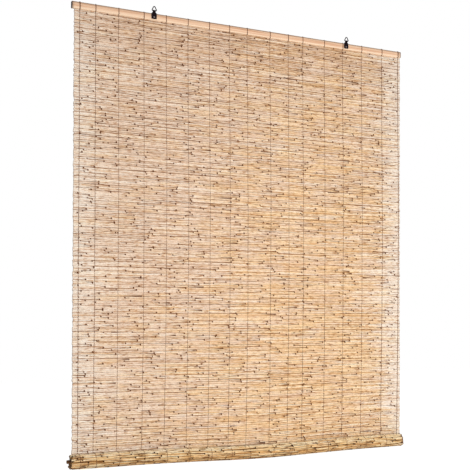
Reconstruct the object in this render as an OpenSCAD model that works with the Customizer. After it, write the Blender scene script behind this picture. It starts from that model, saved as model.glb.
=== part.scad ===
// Roll-up blind: a mat of thin reeds bound by warp threads, hung from a wooden batten.
// X runs along the batten, -Y is the front and Z is up, in millimetres.
// The origin is midway along the batten, level with the seats where hooks hold the two rings.

/* [Mat] */
// Width of the reed mat
mat_w = 1200; // [600:10:1800]
// Height from the top of the batten to the underside of the roll
hang_h = 1420; // [800:10:2000]
// Mean height of one row of reed
reed_pitch = 5.9; // [5:0.1:8]
// How far the height of a row strays from the mean
reed_stray = 0.8; // [0:0.1:1.5]
// Thickness of the mat over its thickest reeds
reed_d = 5.6; // [4.4:0.1:7]
// How far the thinnest reeds stay below that on each face
reed_thin = 0.5; // [0:0.1:0.8]
// Thickness of the mat in the furrows between reeds
furrow_t = 2.4; // [1.6:0.1:3.4]

/* [Gaps] */
// Number of gaps between reeds that show light
gap_count = 48; // [1:1:120]
// Height of a gap
gap_h = 1.4; // [0.6:0.1:2]
// Length of the shortest gap
gap_short = 25; // [10:1:50]
// Length of the longest gap
gap_long = 110; // [60:1:200]
// Margin without gaps at each side of the mat
gap_margin = 40; // [20:1:100]

/* [Roll] */
// Height of the rolled-up end
roll_d = 44; // [36:1:80]
// Slack between the turns of the roll
turn_slack = 0.3; // [0.2:0.05:0.8]
// How far the roll has crept to the left of the mat
roll_creep = 12; // [0:1:30]
// Diameter of the rod inside the roll
rod_d = 11; // [6:0.5:14]
// Length of rod that stands out at each end of the roll
rod_out = 8; // [2:1:20]

/* [Batten] */
// Height of the batten
batten_h = 21.5; // [18:0.5:40]
// Depth of the batten from front to back
batten_d = 12; // [10:0.5:20]
// Length of batten that stands out past each side of the mat
batten_out = 8; // [2:1:40]
// Radius of the batten's long edges
batten_ease = 3; // [1:0.25:4.5]
// Bevel at the ends of the batten
end_bevel = 1; // [0.5:0.1:2]

/* [Threads] */
// Width of a warp thread
thread_w = 1.1; // [0.6:0.1:2]
// Thickness of a warp thread
thread_t = 0.8; // [0.4:0.1:1.2]
// Clearance between a thread and the thickest reeds
thread_lift = 0.1; // [0.05:0.05:0.3]
// Height over which a thread slants from the batten in to the mat
thread_slant = 12; // [6:1:30]
// Distance of the outermost threads from the sides of the mat
thread_edge = 15; // [10:1:40]
// How far each thread strays sideways from even spacing, left to right
thread_stray = [3, -20, -19, -9, -7, -5, -3, -4, -12, 0, -4, -21, -9, -8, -3, 9, 5]; // [-30:1:30]
// Clearance between a thread and a hanger beside it
thread_clear = 2; // [0.5:0.5:6]
// Angle of the roll that a thread goes round before it is hidden
thread_wrap = 290; // [200:5:300]

/* [Hangers] */
// Distance of the left hanger from the batten's left end
hanger_left = 265; // [100:1:280]
// Distance of the right hanger from the batten's right end
hanger_right = 235; // [100:1:280]
// Height of the ring's axis above the batten
axis_rise = 7.5; // [5:0.1:8]
// Width of the strap plate
strap_w = 17.5; // [14:0.5:20]
// Width of the strap at its fold
neck_w = 9; // [6:0.1:9.2]
// Length of the strap below the ring's axis
strap_drop = 26; // [24:0.5:26]
// Depth of the straight neck below the ring's axis
neck_drop = 3.5; // [3:0.1:5]
// Depth of the shoulders below the ring's axis
shoulder_drop = 8; // [7:0.1:11]
// Radius of the strap's lower corners
strap_corner = 2.5; // [1:0.1:4]
// Thickness of the strap's sheet
strap_t = 0.8; // [0.6:0.05:1]
// Gap between the two leaves of the strap
leaf_gap = 0.1; // [0.05:0.05:0.2]

/* [Rings] */
// Diameter of the ring's wire
wire_d = 3; // [1.8:0.1:3.2]
// Clearance round the wire in the strap's fold
fold_play = 0.06; // [0.03:0.01:0.1]
// Width of the ring over its wire
ring_w = 17.5; // [17:0.1:20]
// Height from the ring's axis to the seat of the hook
seat_h = 11.8; // [11:0.1:14]
// Radius of the ring's lower corners at the middle of the wire
corner_r = 2.2; // [1.6:0.1:2.4]
// Radius of the ring's top at the middle of the wire
crown_r = 3; // [2:0.1:4]
// How much thicker the wire is in its bends
bend_swell = 0.01; // [0.01:0.01:0.02]
// Length by which a straight wire runs into a bend
bend_lap = 0.1; // [0.05:0.01:0.1]

/* [Screws] */
// Diameter of a screw's head
head_d = 5.6; // [5:0.1:6.5]
// Height of a screw's head
head_h = 1.7; // [1.5:0.1:2]
// Height of the straight rim of a screw's head
head_rim = 0.6; // [0.4:0.1:1]
// Diameter of a screw's shank
shank_d = 3; // [2.5:0.1:3.4]
// Length of a screw below its head
screw_l = 11; // [8:0.5:11]
// Length of a screw's point
point_l = 3; // [2:0.5:4]
// Distance of a screw from the lower edge of its strap
screw_up = 6; // [4.2:0.1:7]
// Clearance round a shank in its strap
strap_play = 0.3; // [0.1:0.1:0.5]
// Clearance round a shank in the batten
pilot_play = 0.03; // [0.02:0.01:0.05]
// Width of a blade of the cross recess
recess_w = 1; // [0.6:0.1:1.4]
// Length of a blade of the cross recess
recess_l = 3.6; // [2.5:0.1:4.5]
// Depth of the cross recess
recess_h = 1; // [0.5:0.1:1.2]

/* [Hidden] */
$fn = 64;
thread_n = len(thread_stray);
THREAD_NODES = [for (i = [1 : thread_n]) str("warp_thread_", i < 10 ? "0" : "", i)];
FIXED_NODES = [
    "head_batten", "reed_mat", "bottom_roll", "bottom_rod",
    "hanger_strap_left", "hanger_strap_right",
    "hanger_ring_left", "hanger_ring_right",
    "hanger_screw_left", "hanger_screw_right"
];

// Colours
pine = [0.88, 0.72, 0.59];
reed = [0.87, 0.74, 0.6];
reed_back = [0.78, 0.65, 0.5];
dark_cane = [0.36, 0.26, 0.19];
thread_brown = [0.47, 0.34, 0.29];
black_steel = [0.11, 0.1, 0.1];
bright_steel = [0.68, 0.66, 0.63];

// Heights: the hook's seat is at zero, with the ring's axis and the batten below it.
axis_z = -seat_h;
batten_top = axis_z - axis_rise;
batten_low = batten_top - batten_h;

// Depths: the rings stand at zero, and the fold of the strap lies against the batten.
fold_in = wire_d / 2 + fold_play;
fold_out = fold_in + strap_t;
plate_t = 2 * strap_t + leaf_gap;
plate_front = fold_out - plate_t;
batten_front = fold_out;
batten_back = batten_front + batten_d;
mat_y = batten_front + batten_d / 2;
batten_l = mat_w + 2 * batten_out;
hanger_x_left = hanger_left - batten_l / 2;
hanger_x_right = batten_l / 2 - hanger_right;

// Roll: the middle of the mat follows a spiral that starts level with the centre of the roll.
turn_pitch = reed_d + turn_slack;
roll_out = (roll_d + turn_pitch) / 2;
roll_mid = roll_out - reed_d / 2;
roll_y = mat_y - roll_mid;
roll_z = batten_top - hang_h + roll_out - turn_pitch / 4;
core_mid = rod_d / 2 + turn_slack + reed_d / 2;
roll_angle = 360 * (roll_mid - core_mid) / turn_pitch;

// Rows of the hanging mat, from the batten down to the start of the roll
mat_len = batten_low - roll_z;
row_n = round(mat_len / reed_pitch);
row_edge = [for (i = 0, z = 0; i <= row_n; z = z + row_height(i), i = i + 1) z];

// Share of a row's height that its flank takes at each furrow
flank = 0.25;

// Angle between the points of a thread's path round a corner and round the roll
corner_step = 45;
wrap_step = 20;

// Repeatable scatter between 0 and 1 for a whole number
function scatter(i, seed) = abs(sin(i * 137.508 + seed * 41) * 57.3) % 1;

function row_height(i) = reed_pitch + reed_stray * (2 * scatter(i, 1) - 1);
function row_z(i) = batten_low - mat_len * row_edge[i] / row_edge[row_n];
function row_crest(i) = reed_d / 2 - reed_thin * scatter(i, 2);

// Radius of the middle of the mat at angle a of the roll, 0 at the back and 90 underneath
function spiral(a) = roll_mid - turn_pitch * a / 360;
function roll_point(a, rise) = [
    roll_y + (spiral(a) + rise) * cos(a),
    roll_z - (spiral(a) + rise) * sin(a)
];

function reversed(list) = [for (i = [len(list) - 1 : -1 : 0]) list[i]];

// One face of the hanging mat, from the batten down; side is -1 at the front and 1 at the back
function mat_face(side) = concat(
    [
        for (i = [0 : row_n - 1], p = [
            [furrow_t / 2, 0],
            [row_crest(i), flank],
            [row_crest(i), 1 - flank]
        ]) [mat_y + side * p[0], row_z(i) + p[1] * (row_z(i + 1) - row_z(i))]
    ],
    [[mat_y + side * furrow_t / 2, roll_z]]
);

// Angles at which the rows of the roll begin
roll_edge = [for (a = 0; a <= roll_angle; a = a + reed_pitch / spiral(a) * 180 / PI) a];
roll_rows = len(roll_edge) - 1;

// One face of the rolled mat, from the hanging part inwards; side is 1 outside and -1 inside
function roll_face(side) = concat(
    [
        for (i = [0 : roll_rows - 1], p = [
            [furrow_t / 2, 0],
            [row_crest(i), flank],
            [row_crest(i), 1 - flank]
        ]) roll_point(roll_edge[i] + p[1] * (roll_edge[i + 1] - roll_edge[i]), side * p[0])
    ],
    [roll_point(roll_edge[roll_rows], side * furrow_t / 2)]
);

// Corner of a thread's path over the batten: flat steps that stay outside the rounded edge
function thread_corner(y, first, rise) = [
    for (k = [0 : 90 / corner_step - 1])
        let (a = first - (k + 0.5) * corner_step, r = (batten_ease + rise) / cos(corner_step / 2))
            [y + r * cos(a), batten_top - batten_ease + r * sin(a)]
];

// Lower end of a thread at the front, just above the place where roll and mat meet
nip_z = roll_z + 0.5 * roll_out;

// Path of a thread's face that lies rise above the batten and the reeds: up the front of the mat,
// over the batten, down the back and round the outside of the roll
function thread_path(rise) =
    let (
        front = mat_y - reed_d / 2 - thread_lift - rise,
        back = mat_y + reed_d / 2 + thread_lift + rise,
        steps = floor(thread_wrap / wrap_step)
    )
    concat(
        [
            [front, nip_z],
            [front, batten_low - thread_slant],
            [batten_front - rise, batten_low]
        ],
        thread_corner(batten_front + batten_ease, 180, rise),
        thread_corner(batten_back - batten_ease, 90, rise),
        [
            [batten_back + rise, batten_low],
            [back, batten_low - thread_slant],
            [back, roll_z]
        ],
        [
            for (k = [0 : steps - 1])
                let (a = (k + 0.5) * wrap_step, face = spiral(a) + reed_d / 2 + thread_lift + rise)
                    roll_point(a, face / cos(wrap_step / 2) - spiral(a))
        ]
    );

// Place of a thread, which is laid beside a hanger where it would run under one
function thread_x(i) = beside(beside(thread_even(i), hanger_x_left), hanger_x_right);
function thread_even(i) =
    thread_edge - mat_w / 2 + i * (mat_w - 2 * thread_edge) / (thread_n - 1) + thread_stray[i];
function beside(x, hanger) =
    let (room = (max(strap_w, ring_w) + thread_w) / 2 + thread_clear)
        abs(x - hanger) < room ? hanger + (x < hanger ? -room : room) : x;

// Ring: straight sides run between the arcs of the lower corners and the crown.
ring_half = (ring_w - wire_d) / 2;
corner_at = [ring_half - corner_r, corner_r];
crown_at = [0, seat_h + wire_d / 2 - crown_r];
side_run = crown_at - corner_at;
side_turn = atan2(side_run[1], side_run[0]) - acos((corner_r - crown_r) / norm(side_run));
side_l = sqrt(pow(norm(side_run), 2) - pow(corner_r - crown_r, 2));

// Screws
screw_z = axis_z - strap_drop + screw_up;

// Turns a profile drawn in Y and Z into a bar of length l that is centred on X
module along_x(l) {
    rotate([90, 0, 90])
        linear_extrude(l, center = true)
            children();
}

// Turns an outline drawn in X and Z into a plate that is centred on Y
module along_y(l) {
    rotate([90, 0, 0])
        linear_extrude(l, center = true)
            children();
}

// Rectangle from the origin with rounded corners
module rounded_rect(w, h, r) {
    translate([r, 0])
        square([w - 2 * r, h]);
    translate([0, r])
        square([w, h - 2 * r]);
    for (x = [r, w - r], y = [r, h - r])
        translate([x, y])
            circle(r);
}

module head_batten() {
    color(pine)
        difference() {
            intersection() {
                along_x(batten_l)
                    translate([batten_front, batten_low])
                        rounded_rect(batten_d, batten_h, batten_ease);
                translate([0, mat_y, 0])
                    along_y(2 * batten_d)
                        batten_outline();
            }
            for (x = [hanger_x_left, hanger_x_right])
                translate([x, plate_front, screw_z])
                    rotate([-90, 0, 0])
                        cylinder(d = shank_d + 2 * pilot_play, h = screw_l + pilot_play);
        }
}

// Front view of the batten with bevelled ends
module batten_outline() {
    half = batten_l / 2;
    polygon([
        [-half, batten_low + end_bevel], [-half + end_bevel, batten_low],
        [half - end_bevel, batten_low], [half, batten_low + end_bevel],
        [half, batten_top - end_bevel], [half - end_bevel, batten_top],
        [-half + end_bevel, batten_top], [-half, batten_top - end_bevel]
    ]);
}

module reed_mat() {
    color(reed)
        difference() {
            along_x(mat_w)
                polygon(concat(mat_face(-1), reversed(mat_face(1))));
            for (k = [0 : gap_count - 1])
                mat_gap(k);
        }
}

// Gap k lies in one furrow, the furrows being spread evenly down the mat.
module mat_gap(k) {
    length = gap_short + (gap_long - gap_short) * scatter(k, 3);
    room = mat_w - 2 * gap_margin - length;
    row = 2 + floor((k + scatter(k, 4)) * (row_n - 4) / gap_count);
    translate([room * (scatter(k, 5) - 0.5), mat_y, row_z(row)])
        cube([length, 2 * reed_d, gap_h], center = true);
}

module bottom_roll() {
    color(reed_back)
        translate([-roll_creep, 0, 0])
            along_x(mat_w)
                polygon(concat(roll_face(1), reversed(roll_face(-1))));
}

module bottom_rod() {
    color(dark_cane)
        translate([-roll_creep, roll_y, roll_z])
            rotate([0, 90, 0])
                cylinder(d = rod_d, h = mat_w + 2 * rod_out, center = true);
}

module warp_thread(i) {
    color(thread_brown)
        translate([thread_x(i), 0, 0])
            along_x(thread_w)
                polygon(concat(thread_path(thread_t), reversed(thread_path(0))));
}

// Folded sheet: two leaves that meet in a round fold
module hanger_strap() {
    color(black_steel)
        difference() {
            intersection() {
                along_x(strap_w)
                    strap_fold();
                along_y(4 * fold_out)
                    strap_outline();
            }
            translate([0, 0, screw_up - strap_drop])
                rotate([90, 0, 0])
                    cylinder(d = shank_d + 2 * strap_play, h = 4 * fold_out, center = true);
        }
}

// Side view of the strap, with the ring's axis at the origin
module strap_fold() {
    difference() {
        union() {
            circle(fold_out);
            translate([plate_front, -strap_drop])
                square([plate_t, strap_drop]);
        }
        circle(fold_in);
        translate([plate_front + strap_t, -strap_drop - 1])
            square([leaf_gap, strap_drop + 1]);
    }
}

// Front view of the strap: a narrow neck, sloping shoulders and a plate with round lower corners
module strap_outline() {
    translate([-strap_w / 2, -strap_drop])
        rounded_rect(strap_w, strap_drop - shoulder_drop, strap_corner);
    polygon([
        [-strap_w / 2, strap_corner - strap_drop], [strap_w / 2, strap_corner - strap_drop],
        [strap_w / 2, -shoulder_drop], [neck_w / 2, -neck_drop],
        [neck_w / 2, 2 * fold_out], [-neck_w / 2, 2 * fold_out],
        [-neck_w / 2, -neck_drop], [-strap_w / 2, -shoulder_drop]
    ]);
}

// Triangular wire ring, with its lower wire on the axis at the origin
module hanger_ring() {
    color(black_steel)
        rotate([90, 0, 0]) {
            rotate([0, 90, 0])
                cylinder(d = wire_d, h = 2 * (corner_at[0] + bend_lap), center = true);
            ring_arc(crown_at, crown_r, side_turn, 180 - 2 * side_turn);
            for (m = [0, 1])
                mirror([m, 0, 0])
                    ring_side();
        }
}

// Lower corner and straight side of the ring
module ring_side() {
    ring_arc(corner_at, corner_r, -90, side_turn + 90);
    translate([corner_at[0], corner_at[1], 0])
        rotate(side_turn)
            translate([corner_r, -bend_lap, 0])
                rotate([-90, 0, 0])
                    cylinder(d = wire_d, h = side_l + 2 * bend_lap);
}

// Arc of wire of radius r about a centre, from angle first over angle sweep
module ring_arc(centre, r, first, sweep) {
    translate([centre[0], centre[1], 0])
        rotate(first)
            rotate_extrude(angle = sweep)
                translate([r, 0])
                    circle(d = wire_d + bend_swell);
}

// Pan-head screw with a cross recess; its head stands on the origin and its shank points along Z
module hanger_screw() {
    color(bright_steel)
        difference() {
            rotate_extrude()
                screw_profile();
            for (a = [0, 90])
                rotate([0, 0, a + 30])
                    translate([0, 0, -head_h])
                        cube([recess_l, recess_w, 2 * recess_h], center = true);
        }
}

// Half of a screw's lengthwise section: a domed head, a straight shank and a point
module screw_profile() {
    dome = [
        for (a = [0 : 30 : 90])
            [head_d / 2 * sin(a), -head_rim - (head_h - head_rim) * cos(a)]
    ];
    polygon(concat(dome, [
        [head_d / 2, 0], [shank_d / 2, 0],
        [shank_d / 2, screw_l - point_l], [shank_d / 12, screw_l], [0, screw_l]
    ]));
}

// Places a strap or ring on the axis of one hanger
module on_axis(x) {
    translate([x, 0, axis_z])
        children();
}

// Places a screw in one hanger
module in_strap(x) {
    translate([x, plate_front, screw_z])
        rotate([-90, 0, 0])
            children();
}

head_batten();
reed_mat();
bottom_roll();
bottom_rod();
on_axis(hanger_x_left) hanger_strap();  // hanger_strap_left
on_axis(hanger_x_right) hanger_strap();  // hanger_strap_right
on_axis(hanger_x_left) hanger_ring();  // hanger_ring_left
on_axis(hanger_x_right) hanger_ring();  // hanger_ring_right
in_strap(hanger_x_left) hanger_screw();  // hanger_screw_left
in_strap(hanger_x_right) hanger_screw();  // hanger_screw_right
for (i = [0 : thread_n - 1])
    warp_thread(i);
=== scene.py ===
"""Roll-up reed blind: every reed, twine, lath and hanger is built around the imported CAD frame."""
import logging
import math
from collections.abc import Mapping
from dataclasses import dataclass, field
from enum import Enum

import bpy
import numpy as np
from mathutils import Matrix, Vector
from numpy.typing import NDArray


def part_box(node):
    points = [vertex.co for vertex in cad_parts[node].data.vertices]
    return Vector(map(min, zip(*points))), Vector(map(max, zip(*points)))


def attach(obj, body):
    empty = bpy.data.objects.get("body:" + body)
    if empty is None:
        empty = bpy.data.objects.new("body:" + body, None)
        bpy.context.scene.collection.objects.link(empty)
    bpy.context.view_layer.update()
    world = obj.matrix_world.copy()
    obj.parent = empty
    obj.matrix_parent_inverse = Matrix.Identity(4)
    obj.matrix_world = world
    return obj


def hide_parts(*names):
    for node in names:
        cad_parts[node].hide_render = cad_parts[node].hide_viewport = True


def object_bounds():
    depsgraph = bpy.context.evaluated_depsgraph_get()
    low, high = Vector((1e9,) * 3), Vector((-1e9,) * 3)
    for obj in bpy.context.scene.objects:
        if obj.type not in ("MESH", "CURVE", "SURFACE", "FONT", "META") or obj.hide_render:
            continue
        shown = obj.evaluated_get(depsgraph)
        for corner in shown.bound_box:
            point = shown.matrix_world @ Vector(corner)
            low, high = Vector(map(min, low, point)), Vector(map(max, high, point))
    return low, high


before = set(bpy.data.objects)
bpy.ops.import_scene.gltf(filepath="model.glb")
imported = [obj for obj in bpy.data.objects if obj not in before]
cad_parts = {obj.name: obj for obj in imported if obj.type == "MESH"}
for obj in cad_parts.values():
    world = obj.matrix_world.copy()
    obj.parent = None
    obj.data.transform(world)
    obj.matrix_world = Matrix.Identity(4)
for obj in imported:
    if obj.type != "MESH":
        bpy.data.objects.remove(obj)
CAD_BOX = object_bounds()

Array = NDArray[np.float64]
Index = NDArray[np.int64]
Colour = tuple[float, float, float, float]
Tones = tuple[tuple[float, Colour], ...]
Socket = bpy.types.NodeSocket

LOG = logging.getLogger("blind")
MM = 0.001
BODY = "blind"
WHITE: Colour = (1.0, 1.0, 1.0, 1.0)

# Span that noise mostly keeps to
NOISE = (0.3, 0.7)

# Share of a row's height, from its upper edge, at which the middle of the mat is sampled
ROW_SHARES: Array = np.array([0.0, 0.25, 0.5, 0.75])
ROW_CENTRE = 2


class Side(Enum):
    """The two hangers."""

    LEFT = "left"
    RIGHT = "right"


def paint(red: int, green: int, blue: int) -> Colour:
    """Turns a colour of 0 to 255 as seen on a screen into the linear colour that shaders use.

    Args:
        red, green, blue: The colour as seen.

    Returns:
        The linear colour with full alpha.
    """
    seen = np.array([red, green, blue]) / 255.0
    linear = np.where(seen <= 0.04045, seen / 12.92, ((seen + 0.055) / 1.055) ** 2.4)
    return (float(linear[0]), float(linear[1]), float(linear[2]), 1.0)


def tones(*seen: tuple[int, int, int]) -> Tones:
    """Spreads colours as seen on a screen evenly from 0 to 1."""
    return tuple((place / (len(seen) - 1), paint(*colour)) for place, colour in enumerate(seen))


def box_of(node: str) -> tuple[Array, Array]:
    """Gives a CAD node's lowest and highest corners as arrays."""
    low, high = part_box(node)
    return np.array(low), np.array(high)


# ---- meshes


def tube_quads(count: int, rings: int, sides: int) -> Index:
    """Lists the quads of several tubes that are each a grid of rings by sides, closed round the sides.

    Args:
        count: Number of tubes.
        rings: Rings along each tube.
        sides: Points round each ring.

    Returns:
        Rows of four vertex numbers whose normals point away from the tube's axis.
    """
    tube, ring, side = np.meshgrid(
        np.arange(count), np.arange(rings - 1), np.arange(sides), indexing="ij"
    )
    start = (tube * rings + ring) * sides
    turn = (side + 1) % sides
    quads = np.stack([start + side, start + turn, start + sides + turn, start + sides + side], -1)
    return quads.reshape(-1, 4)


def tube_caps(count: int, rings: int, sides: int) -> Index:
    """Lists the polygons that close both ends of several tubes.

    Args:
        count: Number of tubes.
        rings: Rings along each tube.
        sides: Points round each ring.

    Returns:
        Rows of vertex numbers, first ends and then last ends, that face out of the tubes.
    """
    first = np.arange(count)[:, None] * rings * sides
    around = np.arange(sides)[None, :]
    return np.concatenate([first + around[:, ::-1], first + (rings - 1) * sides + around])


def mesh_object(
    name: str,
    points: Array,
    quads: Index,
    caps: Index | None = None,
    marks: Mapping[str, Array] | None = None,
    corner_uv: Array | None = None,
) -> bpy.types.Object:
    """Puts whole arrays of points and faces into a smooth mesh at the origin.

    Args:
        name: Name of the piece.
        points: Points, the last axis being X, Y and Z.
        quads: Four vertex numbers a row.
        caps: End polygons, each row one polygon.
        marks: Values at the points by attribute name.
        corner_uv: UV of each quad's corners, in the order of quads.

    Returns:
        The new object, linked into the scene.
    """
    mesh = bpy.data.meshes.new(name)
    flat = points.reshape(-1, 3)
    mesh.vertices.add(len(flat))
    mesh.vertices.foreach_set("co", flat.astype(np.float32).ravel())
    caps = np.zeros((0, 3), int) if caps is None else caps
    corners = np.concatenate([quads.ravel(), caps.ravel()])
    totals = np.concatenate([np.full(len(quads), 4), np.full(len(caps), caps.shape[1])])
    mesh.loops.add(len(corners))
    mesh.loops.foreach_set("vertex_index", corners.astype(np.int32))
    mesh.polygons.add(len(totals))
    starts = np.concatenate([[0], np.cumsum(totals)[:-1]])
    mesh.polygons.foreach_set("loop_start", starts.astype(np.int32))
    mesh.polygons.foreach_set("use_smooth", np.ones(len(totals), bool))
    for key, values in (marks or {}).items():
        layer = mesh.attributes.new(key, "FLOAT", "POINT")
        layer.data.foreach_set("value", values.astype(np.float32).ravel())
    if corner_uv is not None:
        layer = mesh.uv_layers.new(name="UVMap")
        rest = np.zeros((caps.size, 2))
        both = np.concatenate([corner_uv.reshape(-1, 2), rest]).astype(np.float32)
        layer.data.foreach_set("uv", both.ravel())
    mesh.update(calc_edges=True)
    mesh.validate()
    piece = bpy.data.objects.new(name, mesh)
    bpy.context.scene.collection.objects.link(piece)
    return piece


def sweep(path: Array, radius: Array, sides: int, across: Array) -> Array:
    """Carries a circle along a path: each ring lies square to the path's own direction.

    Args:
        path: Points along the path.
        radius: Radius at each point.
        sides: Points round the circle.
        across: A direction that the path never runs along.

    Returns:
        Points as rings by sides by three.
    """
    ahead = np.gradient(path, axis=0)
    ahead /= np.linalg.norm(ahead, axis=1, keepdims=True)
    second = across - (ahead @ across)[:, None] * ahead
    second /= np.linalg.norm(second, axis=1, keepdims=True)
    first = np.cross(second, ahead)
    turn = np.linspace(0, 2 * np.pi, sides, endpoint=False)
    ring = np.cos(turn)[:, None] * first[:, None] + np.sin(turn)[:, None] * second[:, None]
    return path[:, None] + radius[:, None, None] * ring


def closed_sweep(path: Array, radius: float, sides: int, across: Array) -> tuple[Array, Index]:
    """Carries a circle round a closed path.

    Args:
        path: Points round the path, the first not repeated.
        radius: Radius of the circle.
        sides: Points round the circle.
        across: A direction that the path never runs along.

    Returns:
        The points and the quads that join the last ring to the first.
    """
    count = len(path)
    padded = np.concatenate([path[-2:], path, path[:2]])
    rings = sweep(padded, np.full(count + 4, radius), sides, across)[2:-2]
    quads = tube_quads(1, count + 1, sides) % (count * sides)
    return rings, quads


def strip_uv(rings: int, sides: int, along: Array) -> Array:
    """Gives the corners of a tube's quads a UV of metres along it and turns round it.

    Args:
        rings: Rings along the tube.
        sides: Points round each ring.
        along: Metres along the tube at each ring.

    Returns:
        UV by quad and corner, in the order of tube_quads.
    """
    ring, side = np.meshgrid(np.arange(rings - 1), np.arange(sides), indexing="ij")
    here, there = along[ring], along[ring + 1]
    low, high = side / sides, (side + 1) / sides
    corners = [(here, low), (here, high), (there, high), (there, low)]
    return np.stack([np.stack(pair, -1) for pair in corners], -2).reshape(-1, 4, 2)


def finished(
    piece: bpy.types.Object, material: bpy.types.Material, body: str, node: str
) -> bpy.types.Object:
    """Dresses a piece, rides it on a body and hides the CAD node that it replaces.

    Args:
        piece: The new object.
        material: Its material.
        body: CAD body that carries it.
        node: CAD node that it replaces.

    Returns:
        The piece.
    """
    dress(piece, material)
    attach(piece, body)
    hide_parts(node)
    return piece


# ---- shader drawing board


class Board:
    """Draws nodes into one node tree."""

    def __init__(self, tree: bpy.types.NodeTree) -> None:
        """Keeps the tree that is drawn in."""
        self.tree = tree

    def add(
        self, kind: str, inputs: Mapping[str | int, object] | None = None, **settings: object
    ) -> bpy.types.Node:
        """Adds a node, sets it and links or fills its inputs.

        Args:
            kind: Blender's name of the node's type.
            inputs: Sockets to link, or values to set, by input name or number.
            settings: Properties of the node.

        Returns:
            The new node.
        """
        node = self.tree.nodes.new(kind)
        for key, value in settings.items():
            setattr(node, key, value)
        for key, value in (inputs or {}).items():
            if isinstance(value, Socket):
                self.tree.links.new(value, node.inputs[key])
            else:
                node.inputs[key].default_value = value
        return node

    def mix(self, share: object, first: object, second: object, blend: str = "MIX") -> Socket:
        """Mixes two colours.

        Args:
            share: Socket or number between 0 and 1.
            first, second: Sockets or colours.
            blend: Blender's name of the way of mixing.

        Returns:
            The mixed colour.
        """
        inputs = {0: share, 6: first, 7: second}
        return self.add("ShaderNodeMix", inputs, data_type="RGBA", blend_type=blend).outputs[2]

    def math(self, operation: str, first: object, second: object = 0.0) -> Socket:
        """Works out one sum on sockets or numbers."""
        return self.add("ShaderNodeMath", {0: first, 1: second}, operation=operation).outputs[0]

    def span(self, value: object, low: float, high: float, to_low: float, to_high: float) -> Socket:
        """Carries a value from one span to another, held at the ends.

        Args:
            value: Socket to carry over.
            low, high: Span that it comes from.
            to_low, to_high: Span that it goes to.

        Returns:
            The new value.
        """
        inputs = {"Value": value, "From Min": low, "From Max": high, "To Min": to_low, "To Max": to_high}
        return self.add("ShaderNodeMapRange", inputs).outputs["Result"]

    def ramp(self, value: object, stops: Tones) -> Socket:
        """Turns a value into a colour between stops.

        Args:
            value: Socket between 0 and 1.
            stops: Places and colours in rising order.

        Returns:
            The colour.
        """
        node = self.add("ShaderNodeValToRGB", {"Fac": value})
        elements = node.color_ramp.elements
        while len(elements) < len(stops):
            elements.new(0.5)
        for element, (place, colour) in zip(elements, stops):
            element.position = place
            element.color = colour
        return node.outputs["Color"]

    def shade(self, colour: object, level: object) -> Socket:
        """Multiplies a colour by one level."""
        grey = self.add("ShaderNodeCombineColor", {0: level, 1: level, 2: level}).outputs[0]
        return self.mix(1.0, colour, grey, "MULTIPLY")

    def attribute(self, name: str) -> Socket:
        """Reads a value that the mesh carries at its points."""
        return self.add("ShaderNodeAttribute", attribute_name=name).outputs["Fac"]

    def place(self) -> Socket:
        """Reads the place on the piece in its own metres."""
        return self.add("ShaderNodeTexCoord").outputs["Object"]

    def noise(self, scale: float, detail: float) -> Socket:
        """Draws noise that is as long as it is wide."""
        inputs = {"Vector": self.place(), "Scale": scale, "Detail": detail}
        return self.add("ShaderNodeTexNoise", inputs).outputs["Fac"]

    def fibre(self, along: float, across: float) -> tuple[Socket, Socket]:
        """Draws the fibre pattern, with so many fibres to the metre along X and across it.

        Args:
            along, across: Fibres to the metre.

        Returns:
            The streaks and the fine fibres within them.
        """
        inputs = {"Vector": self.place(), "Along": along, "Across": across}
        ends = self.add("ShaderNodeGroup", inputs, node_tree=fibre_group()).outputs
        return ends["Streak"], ends["Fine"]

    def coat(
        self,
        shader: bpy.types.Node,
        colour: Socket,
        rough: Socket,
        height: Socket,
        relief: tuple[float, float],
        shine: float = 0.5,
    ) -> None:
        """Joins colour, roughness and relief to a shader.

        Args:
            shader: The material's main shader.
            colour: Its colour.
            rough: Its roughness.
            height: Pattern of the relief.
            relief: Strength of the relief, and its depth in metres.
            shine: Level of the mirror-like share of the light.
        """
        strength, depth = relief
        bump = self.add("ShaderNodeBump", {"Height": height, "Strength": strength, "Distance": depth})
        normal = bump.outputs["Normal"]
        for name, socket in (("Base Color", colour), ("Roughness", rough), ("Normal", normal)):
            self.tree.links.new(socket, shader.inputs[name])
        shader.inputs["Specular IOR Level"].default_value = shine


def fibre_group() -> bpy.types.NodeTree:
    """Draws the fibre pattern that reeds, pine and stick share: noise drawn out along X.

    Returns:
        A group with Vector, Along and Across in, and Streak and Fine out.
    """
    known = bpy.data.node_groups.get("Fibre")
    if known:
        return known
    group = bpy.data.node_groups.new("Fibre", "ShaderNodeTree")
    for name, way, kind in (
        ("Vector", "INPUT", "NodeSocketVector"),
        ("Along", "INPUT", "NodeSocketFloat"),
        ("Across", "INPUT", "NodeSocketFloat"),
        ("Streak", "OUTPUT", "NodeSocketFloat"),
        ("Fine", "OUTPUT", "NodeSocketFloat"),
    ):
        group.interface.new_socket(name, in_out=way, socket_type=kind)
    board = Board(group)
    ends = board.add("NodeGroupInput").outputs
    sizes = {0: ends["Along"], 1: ends["Across"], 2: ends["Across"]}
    drawn = board.add("ShaderNodeCombineXYZ", sizes).outputs[0]
    factors = {0: ends["Vector"], 1: drawn}
    stretched = board.add("ShaderNodeVectorMath", factors, operation="MULTIPLY").outputs[0]
    broad = board.add("ShaderNodeTexNoise", {"Vector": stretched, "Scale": 1.0, "Detail": 3.0})
    thin = board.add("ShaderNodeTexNoise", {"Vector": stretched, "Scale": 5.0, "Detail": 2.0})
    board.add("NodeGroupOutput", {"Streak": broad.outputs["Fac"], "Fine": thin.outputs["Fac"]})
    return group


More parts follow.
